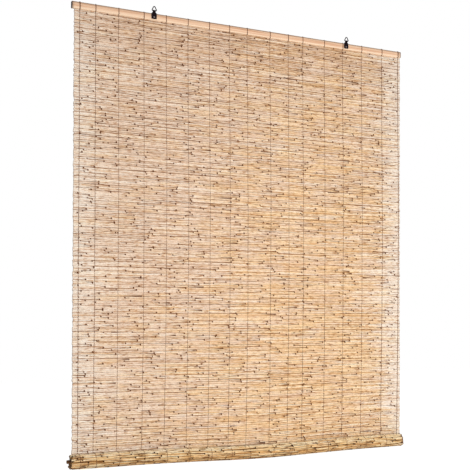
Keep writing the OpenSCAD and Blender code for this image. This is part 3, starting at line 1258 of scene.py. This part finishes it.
@dataclass
class BottomRoll:
    """The rolled-up end of the mat: its middle follows a spiral that shrinks by one turn's pitch a turn."""

    pitch: float = 5.9 * MM
    turn: float = 5.9 * MM
    thick: float = 5.6 * MM
    height: float = 44 * MM
    core: float = 8.6 * MM
    seed: int = 29

    @property
    def start_radius(self) -> float:
        """Radius of the middle of the mat where the roll begins."""
        return (self.height + self.turn - self.thick) / 2

    def course(self) -> Course:
        """Spreads rows of equal length along the spiral, 0 at the back and a quarter turn underneath.

        The radius at a length along the spiral is the root of the first radius squared, less twice
        that length times the fall of the radius to the radian.

        Returns:
            The rows, from the mat inwards.
        """
        low, high = box_of("reed_mat")
        y, z = (low[1] + high[1]) / 2 - self.start_radius, low[2]
        fall = self.turn / (2 * np.pi)
        length = (self.start_radius**2 - self.core**2) / (2 * fall)
        rows = int(length / self.pitch)
        run = self.pitch * (np.arange(rows)[:, None] + ROW_SHARES)
        radius = np.sqrt(self.start_radius**2 - 2 * fall * run)
        angle = (self.start_radius - radius) / fall
        spoke = np.stack([np.cos(angle), -np.sin(angle)], -1)
        middle = np.array([y, z]) + radius[..., None] * spoke
        return Course(middle, -spoke, np.full(rows, self.pitch))

    def build(self, course: Course) -> bpy.types.Object:
        """Fills the turns with golden reeds.

        Args:
            course: Rows to fill.

        Returns:
            The piece.
        """
        low, high = box_of("bottom_roll")
        reeds = ReedRows(
            self.seed,
            low[0],
            high[0],
            self.thick / 2,
            ragged=8 * MM,
            hollow=1.5 * MM,
            nodes=15,
            lap=1.08,
            tip=TipForm(share=0.2),
            bend=0.6 * MM,
            tone_spread=0.1,
            half_spread=0.5,
            end_scar=0.36,
            end_stain=3 * MM,
            grey_share=0.4,
            grey_slope=(0.0, 0.0),
            pale_edge=1 * MM,
            shaded_top=0.0,
            top_lift=0.5,
            top_dusk=1.0,
        )
        piece = reeds.build("reeds_rolled", course)
        return finished(piece, GOLDEN_REED.material(), BODY, "bottom_roll")


@dataclass
class RollStick:
    """The stick in the roll: a slightly uneven round bar with blunt rounded ends."""

    sides: int = 16
    blunt: float = 2.2 * MM
    stations: int = 24
    straight_from: float = 12 * MM
    girth: float = 0.97
    wave: float = 0.02
    waves: float = 31.0

    def build(self) -> bpy.types.Object:
        """Revolves the outline about X: rounded at both ends and a sine wave in between.

        Returns:
            The piece.
        """
        low, high = box_of("bottom_rod")
        centre, radius = (low + high) / 2, (high[2] - low[2]) / 2
        quarter = np.linspace(np.pi / 2, 0, 5)
        inset = self.blunt * (1 - np.stack([np.sin(quarter), np.cos(quarter)], -1))
        left = np.array([low[0], radius]) + inset * np.array([1, -1])
        x = np.linspace(low[0] + self.straight_from, high[0] - self.straight_from, self.stations)
        body = np.stack([x, radius * (self.girth + self.wave * np.sin(self.waves * x))], -1)
        right = left[::-1] * np.array([-1, 1]) + np.array([low[0] + high[0], 0])
        outline = np.concatenate([left, body, right])
        turn = np.linspace(0, 2 * np.pi, self.sides, endpoint=False)
        ring = np.stack([0 * turn, -np.cos(turn), -np.sin(turn)], -1)
        axis = np.tile(centre, (len(outline), 1))
        axis[:, 0] = outline[:, 0]
        points = outline[:, None, 1:] * ring + axis[:, None]
        size = (1, len(outline), self.sides)
        piece = mesh_object("roll_stick", SAG.settle(points), tube_quads(*size), tube_caps(*size))
        return finished(piece, DARK_STICK.material(), BODY, "bottom_rod")


@dataclass
class HeadBatten:
    """The lath that the mat hangs from, with eased edges and blunt ends."""

    ease: float = 3 * MM
    least_ease: float = 0.8 * MM
    blunt: float = 2.5 * MM
    corner_points: int = 6
    stations: int = 30
    straight_from: float = 8 * MM

    def build(self) -> bpy.types.Object:
        """Carries a rounded rectangle along X; near the ends it draws in along a quarter circle.

        Returns:
            The piece.
        """
        low, high = box_of("head_batten")
        centre, half = (low + high) / 2, (high - low) / 2
        quarter = np.linspace(0, np.pi / 2, 5)
        falling, rising = self.blunt * (1 - np.sin(quarter)), self.blunt * (1 - np.cos(quarter))
        draw = np.concatenate([falling, np.zeros(self.stations), rising])[:, None]
        straight = np.linspace(low[0] + self.straight_from, high[0] - self.straight_from, self.stations)
        x = np.concatenate([low[0] + rising, straight, high[0] - falling])
        corner = np.repeat(np.arange(4) * np.pi / 2, self.corner_points)
        angle = corner + np.tile(np.linspace(0, np.pi / 2, self.corner_points), 4)
        middle = corner + np.pi / 4
        radius = np.maximum(self.ease - draw, self.least_ease)
        y = -np.sign(np.cos(middle)) * (half[1] - draw - radius) - radius * np.cos(angle)
        z = -np.sign(np.sin(middle)) * (half[2] - draw - radius) - radius * np.sin(angle)
        points = np.stack([np.broadcast_to(x[:, None], y.shape), y + centre[1], z + centre[2]], -1)
        size = (1, *y.shape)
        piece = mesh_object("batten_lath", points, tube_quads(*size), tube_caps(*size))
        finish = PineFinish(
            "planed_pine",
            pale=paint(244, 206, 174),
            ring=paint(219, 165, 127),
            # End grain colour, darkened as painted shade.
            end_grain=paint(58, 40, 33),
            # Painted light low on the face of the lath.
            low_light=paint(249, 222, 194),
            half_length=half[0],
            top=high[2],
            front=low[1],
        )
        return finished(piece, finish.material(), BODY, "head_batten")


@dataclass
class WarpTwine:
    """Seventeen warps, each a pair of strands that cross between the reeds and tie round the batten.

    Attributes:
        thick, selvedge_thick: Thickness of a strand, and of the strands of the two outer warps.
        rolled_turn: Share of the roll's first turn that the warps follow.
        wander, wander_waves: Size of the sideways waves, and their number down the mat.
        wander_growth: How fast they grow below the batten.
        drift_at, drift, lean_over: Shares of the way down, drift there, and warps over which it grows.
        slack_at, slack: Shares of the way down between which strands swell, and how far.
        ease: Rounding of the batten's edges.
        tuck: How far back from the batten's middle, and how far below it, a strand ends.
        loop_share, knot_swell, knot_width: Thickness on the batten, and swelling and width of the knot.
        deep, proud: How far a strand stands out of the mat's middle, and its thickness's share of that.
        lift, apart: How far out, and how far apart, the strands are at each share of a row.
    """

    thick: float = 1.15 * MM
    selvedge_thick: tuple[float, float] = (1.6 * MM, 1.35 * MM)
    sides: int = 5
    rolled_turn: float = 0.95
    wander: float = 0.45 * MM
    wander_waves: tuple[int, ...] = (2, 5, 13)
    wander_growth: float = 20.0
    drift_at: tuple[float, ...] = (0.0, 0.4, 0.6, 0.85, 1.0)
    drift: tuple[float, ...] = (-1.5 * MM, 3 * MM, 1.5 * MM, -4 * MM, -9 * MM)
    lean_over: int = 4
    slack_at: tuple[float, float] = (0.4, 0.75)
    slack: float = 1.1
    ease: float = 3 * MM
    corner_points: int = 6
    tuck: tuple[float, float] = (2 * MM, 0.3 * MM)
    loop_share: float = 0.78
    knot_swell: float = 0.5
    knot_width: float = 1.6
    deep: float = 2.7 * MM
    proud: float = 0.3
    lift: tuple[float, ...] = (0.1, 0.82, 1.0, 0.82)
    apart: tuple[float, ...] = (1.0, 0.55, 0.25, 0.55)
    seed: int = 43

    def batten_loop(self, thick: float) -> Array:
        """Follows the batten from under its back, over the top and down its front.

        Four quarter circles about the middles of the batten's eased edges, after the tucked end.

        Args:
            thick: Thickness of the strand.

        Returns:
            Y and Z along the loop.
        """
        low, high = box_of("head_batten")
        (near, foot), (far, head) = low[1:] + self.ease, high[1:] - self.ease
        edges = np.array([[far, foot], [far, head], [near, head], [near, foot]])
        angle = np.pi / 2 * (np.arange(-1, 3)[:, None] + np.linspace(0, 1, self.corner_points))
        round_it = np.stack([np.cos(angle), np.sin(angle)], -1)
        arcs = edges[:, None] + (self.ease + thick / 2) * round_it
        end = np.array([[(low[1] + high[1]) / 2 + self.tuck[0], low[2] - self.tuck[1]]])
        return np.concatenate([end, arcs.reshape(-1, 2)])

    def strand(
        self, course: Course, at: float, thick: float, which: int, lean: float, seed: int
    ) -> tuple[Array, Array]:
        """Lays one strand: round the batten, then over one reed and behind the next.

        Args:
            course: Rows that the strand binds.
            at: Place along X.
            thick: Thickness of the strand.
            which: 0 or 1, the strand of the pair.
            lean: Share of the drift that this warp takes.
            seed: Scatter that both strands share.

        Returns:
            The path and the radius along it.
        """
        rows = len(course.tall)
        over = np.where((np.arange(rows) + which) % 2, -1.0, 1.0)[:, None]
        sign = np.where(ROW_SHARES == 0.0, 1.0, over)
        reach = (self.deep + self.proud * thick) * np.array(self.lift) * sign
        laid = (course.middle + reach[..., None] * course.face).reshape(-1, 2)
        loop = self.batten_loop(thick)
        side = (0.5 - which) * thick
        run = np.linspace(0, 1, len(laid))
        phase = np.random.default_rng(seed).uniform(0, 2 * np.pi, len(self.wander_waves))
        wave = sum(np.sin(2 * np.pi * k * run + p) / k**0.5 for k, p in zip(self.wander_waves, phase))
        drift = lean * np.interp(run, self.drift_at, self.drift)
        x_loop = np.full(len(loop), at + side + drift[0])
        wander = self.wander * wave * np.minimum(1.0, self.wander_growth * run)
        x_laid = at + side * np.tile(self.apart, rows) + drift + wander
        x = np.concatenate([x_loop, x_laid])
        path = np.concatenate([x[:, None], np.concatenate([loop, laid])], 1)
        knot_at = 2 * self.corner_points + 1.5
        knot = np.exp(-(((np.arange(len(loop)) - knot_at) / self.knot_width) ** 2))
        slack = np.interp(run, self.slack_at, (1.0, self.slack))
        swell = np.concatenate([self.loop_share * (1.0 + self.knot_swell * knot), slack])
        return path, thick / 2 * swell

    def build(self, course: Course) -> list[bpy.types.Object]:
        """Builds each warp's two strands as one piece in the place of its CAD band.

        Args:
            course: Rows that the warps bind.

        Returns:
            The pieces, from left to right.
        """
        material, pieces = WARP_TWINE.material(), []
        names = sorted(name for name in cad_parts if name.startswith("warp_thread_"))
        for number, name in enumerate(names):
            low, high = box_of(name)
            from_edge = min(number, len(names) - 1 - number)
            thick = (*self.selvedge_thick, self.thick)[min(from_edge, 2)]
            lean = min(1.0, number / self.lean_over)
            at, seed = (low[0] + high[0]) / 2, self.seed + number
            tubes, uvs = [], []
            for which in (0, 1):
                path, radius = self.strand(course, at, thick, which, lean, seed)
                tubes.append(sweep(path, radius, self.sides, np.array([1.0, 0.0, 0.0])))
                steps = np.linalg.norm(np.diff(path, axis=0), axis=1)
                uvs.append(strip_uv(len(path), self.sides, np.concatenate([[0.0], np.cumsum(steps)])))
            points, corner_uv = SAG.settle(np.stack(tubes)), np.concatenate(uvs)
            size = points.shape[:3]
            title = name.replace("thread", "twine")
            piece = mesh_object(title, points, tube_quads(*size), tube_caps(*size), corner_uv=corner_uv)
            pieces.append(finished(piece, material, BODY, name))
        return pieces


@dataclass
class Hanger:
    """One ring hanger: a folded strap plate, a triangular wire ring and a screw."""

    side: Side
    sheet: float = 0.8 * MM
    leaf_gap: float = 0.1 * MM
    wire: float = 3.0 * MM
    wire_sides: int = 12
    play: float = 0.06 * MM
    neck: float = 4.5 * MM
    neck_drop: float = 3.5 * MM
    shoulder_drop: float = 8 * MM
    corner: float = 2.5 * MM
    fold_turn: float = 245.0
    columns: int = 7
    edge: float = 0.15 * MM
    edge_angle: float = 50.0
    ring_corner: float = 2.2 * MM
    crown: float = 3 * MM

    def axis(self) -> Array:
        """Finds the ring's axis: the middle of the ring's lower wire."""
        low, high = box_of(f"hanger_ring_{self.side.value}")
        return np.array([(low[0] + high[0]) / 2, (low[1] + high[1]) / 2, low[2] + self.wire / 2])

    def strap(self) -> bpy.types.Object:
        """Folds a sheet: up the back leaf, round the wire and down the front leaf, narrowed to a neck.

        Returns:
            The piece.
        """
        low, high = box_of(f"hanger_strap_{self.side.value}")
        axis = self.axis()
        half, drop = (high[0] - low[0]) / 2, axis[2] - low[2]
        bend = self.wire / 2 + self.play + self.sheet / 2
        front = bend - self.sheet - self.leaf_gap
        rounded = drop - self.corner * (1 - np.cos(np.linspace(0, np.pi / 2, 6)))
        straight = np.linspace(drop - self.corner, self.shoulder_drop, 5)[1:]
        shoulder = np.linspace(self.shoulder_drop, self.neck_drop, 5)[1:]
        leaf = -np.concatenate([rounded, straight, shoulder])
        back = np.stack([np.full_like(leaf, bend), leaf], -1)
        angle = np.radians(np.linspace(0, self.fold_turn, 16))
        fold = bend * np.stack([np.cos(angle), np.sin(angle)], -1)
        down = np.stack([np.full_like(leaf, front), leaf], -1)[::-1]
        path = np.concatenate([back, fold, down])
        z = path[:, 1]
        drops, widths = [0, self.neck_drop, self.shoulder_drop, drop], [self.neck, self.neck, half, half]
        width = np.interp(-z, drops, widths)
        rise = np.clip(z + drop, 0, self.corner)
        width -= self.corner - np.sqrt(np.maximum(self.corner**2 - (self.corner - rise) ** 2, 0))
        x = width[:, None] * np.linspace(-1, 1, self.columns)
        sheet = np.broadcast_to(path[:, None], (*x.shape, 2))
        points = axis + np.concatenate([x[..., None], sheet], -1)
        row, column = np.meshgrid(np.arange(len(path) - 1), np.arange(self.columns - 1), indexing="ij")
        start = row * self.columns + column
        below = start + self.columns
        quads = np.stack([start, below, below + 1, start + 1], -1).reshape(-1, 4)
        piece = mesh_object(f"hanger_plate_{self.side.value}", points, quads)
        wall = piece.modifiers.new("sheet", "SOLIDIFY")
        wall.thickness, wall.offset = self.sheet, 0.0
        edge = piece.modifiers.new("edges", "BEVEL")
        edge.width, edge.segments = self.edge, 1
        edge.limit_method, edge.angle_limit = "ANGLE", math.radians(self.edge_angle)
        node = f"hanger_strap_{self.side.value}"
        return finished(piece, BLACK_LACQUER.material(), BODY, node)

    def ring(self) -> bpy.types.Object:
        """Carries a round wire along a triangle whose corners and crown are arcs.

        Returns:
            The piece.
        """
        node = f"hanger_ring_{self.side.value}"
        low, high = box_of(node)
        axis = self.axis()
        half = (high[0] - low[0] - self.wire) / 2
        top = high[2] - self.wire / 2 - axis[2]
        foot = np.array([half - self.ring_corner, self.ring_corner])
        peak = np.array([0.0, top - self.crown])
        run = peak - foot
        lean = math.atan2(run[1], run[0]) - math.acos((self.ring_corner - self.crown) / np.linalg.norm(run))
        low_turn, high_turn = np.linspace(-np.pi / 2, lean, 7), np.linspace(lean, np.pi - lean, 11)
        right = foot + self.ring_corner * np.stack([np.cos(low_turn), np.sin(low_turn)], -1)
        crown = peak + self.crown * np.stack([np.cos(high_turn), np.sin(high_turn)], -1)
        left = right[::-1] * np.array([-1, 1])
        flat = np.concatenate([right, crown, left])
        path = axis + np.stack([flat[:, 0], np.zeros(len(flat)), flat[:, 1]], -1)
        points, quads = closed_sweep(path, self.wire / 2, self.wire_sides, np.array([0.0, 1.0, 0.0]))
        piece = mesh_object(f"hanger_loop_{self.side.value}", points, quads)
        return finished(piece, BLACK_LACQUER.material(), f"{self.side.value}_ring", node)

    def screw(self) -> bpy.types.Object:
        """Gives the CAD screw its zinc.

        Returns:
            The CAD object.
        """
        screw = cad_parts[f"hanger_screw_{self.side.value}"]
        dress(screw, ZINC.material())
        return screw

    def build(self) -> list[bpy.types.Object]:
        """Builds the three pieces of the hanger."""
        return [self.strap(), self.ring(), self.screw()]


# ---- studio


@dataclass
class Studio:
    """Camera, light, white surroundings and floor."""

    camera_at: tuple[float, float, float] = (-1.2556, -2.5657, -0.9839)
    yaw: float = 24.98
    pitch: float = 1.70
    focal_px: float = 862.6
    frame_px: float = 470.0
    rise: float = 0.12
    floor_drop: float = 0.35
    floor_half: float = 8.0
    floor_matt: Colour = (0.82, 0.82, 0.81, 1.0)
    floor_lit: Colour = (0.1, 0.1, 0.1, 1.0)
    floor_glow: float = 0.97
    ambient: float = 0.67
    ambient_above: float = 0.7
    ambient_tint: Colour = (0.985, 0.99, 1.0, 1.0)
    key_at: tuple[float, float, float] = (0.28, -1.8, -0.85)
    key_aim: tuple[float, float, float] = (0.14, 0.0, -0.85)
    key_size: float = 1.2
    key_power: float = 19.7
    key_tint: tuple[float, float, float] = (1.0, 0.94, 0.86)

    def camera(self) -> None:
        """Sets the camera where the photograph was taken."""
        data = bpy.data.cameras.new("photo_camera")
        data.sensor_width = 36.0
        data.lens = self.focal_px / self.frame_px * data.sensor_width
        data.shift_y = self.rise
        data.clip_end = 100.0
        camera = bpy.data.objects.new("photo_camera", data)
        yaw, pitch = math.radians(self.yaw), math.radians(self.pitch)
        ahead = Vector((math.sin(yaw) * math.cos(pitch), math.cos(yaw) * math.cos(pitch), math.sin(pitch)))
        self.place(camera, Vector(self.camera_at), ahead)
        bpy.context.scene.camera = camera

    def lamp(self) -> None:
        """Adds a square soft lamp in front of the blind."""
        data = bpy.data.lights.new("front_soft", "AREA")
        data.size, data.energy, data.color = self.key_size, self.key_power, self.key_tint
        at = Vector(self.key_at)
        self.place(bpy.data.objects.new("front_soft", data), at, Vector(self.key_aim) - at)

    @staticmethod
    def place(thing: bpy.types.Object, at: Vector, ahead: Vector) -> None:
        """Sets a camera or lamp into the scene.

        Args:
            thing: Camera or lamp.
            at: Its place.
            ahead: The way that it faces.
        """
        thing.location = at
        thing.rotation_mode = "QUATERNION"
        thing.rotation_quaternion = ahead.to_track_quat("-Z", "Y")
        bpy.context.scene.collection.objects.link(thing)

    @staticmethod
    def show(board: Board, light: bpy.types.Node, look: bpy.types.Node, output: str) -> None:
        """Shows one shader to the camera, mirrors and glass, and another to rays that carry light.

        Args:
            board: Board of the world's or material's nodes.
            light: Shader for the rays that carry light.
            look: Shader to look at.
            output: Blender's name of the output node's type.
        """
        path = board.add("ShaderNodeLightPath").outputs
        bright = board.math("MAXIMUM", path["Is Camera Ray"], path["Is Glossy Ray"])
        seen = board.math("MAXIMUM", bright, path["Is Transmission Ray"])
        mixed = board.add("ShaderNodeMixShader", {0: seen, 1: light.outputs[0], 2: look.outputs[0]})
        board.add(output, {"Surface": mixed.outputs[0]})

    def surroundings(self) -> None:
        """Makes the world white to look at and an even soft light otherwise."""
        world = bpy.data.worlds.new("white_room")
        bpy.context.scene.world = world
        world.use_nodes = True
        board = Board(world.node_tree)
        world.node_tree.nodes.clear()
        way = board.add("ShaderNodeTexCoord").outputs["Generated"]
        rise = board.add("ShaderNodeSeparateXYZ", {0: way}).outputs[2]
        level = board.span(rise, 0.0, 0.8, self.ambient, self.ambient_above)
        soft = board.add("ShaderNodeBackground", {"Color": self.ambient_tint, "Strength": level})
        white = board.add("ShaderNodeBackground", {"Color": WHITE, "Strength": 1.0})
        self.show(board, soft, white, "ShaderNodeOutputWorld")

    def floor(self) -> None:
        """Lays a pale floor below the blind that stays near white and takes a faint shadow."""
        low, _ = CAD_BOX
        half, z = self.floor_half, low[2] - self.floor_drop
        corners = np.array([[-half, -half, z], [half, -half, z], [half, half, z], [-half, half, z]])
        floor = mesh_object("floor", corners, np.array([[0, 1, 2, 3]]))
        material, board, _ = new_material("pale_floor")
        material.node_tree.nodes.clear()
        matt = board.add("ShaderNodeBsdfDiffuse", {"Color": self.floor_matt})
        pale = board.add("ShaderNodeBsdfDiffuse", {"Color": self.floor_lit})
        glow = board.add("ShaderNodeEmission", {"Color": WHITE, "Strength": self.floor_glow})
        lit = board.add("ShaderNodeAddShader", {0: pale.outputs[0], 1: glow.outputs[0]})
        self.show(board, matt, lit, "ShaderNodeOutputMaterial")
        dress(floor, material)

    def build(self) -> None:
        """Sets up camera, light and surroundings."""
        self.camera()
        self.lamp()
        self.surroundings()
        self.floor()
        bpy.context.scene.view_settings.view_transform = "Standard"


def main() -> None:
    """Builds the blind piece by piece, sets it in the studio and reports each piece."""
    logging.basicConfig(level=logging.INFO, format="%(name)s: %(message)s")
    Studio().build()
    mat, roll, twine = ReedMat(), BottomRoll(), WarpTwine()
    hanging, rolled = mat.course(), roll.course()
    pieces = [mat.build(hanging), roll.build(rolled)]
    outer_rows = int(2 * np.pi * twine.rolled_turn * roll.start_radius / roll.pitch)
    pieces += twine.build(hanging.joined(rolled.first(outer_rows)))
    pieces += [HeadBatten().build(), RollStick().build()]
    for side in Side:
        pieces += Hanger(side).build()
    for piece in pieces:
        finish = piece.data.materials[0].name
        LOG.info("%s: %d faces in %s", piece.name, len(piece.data.polygons), finish)


if __name__ == "__main__":
    main()
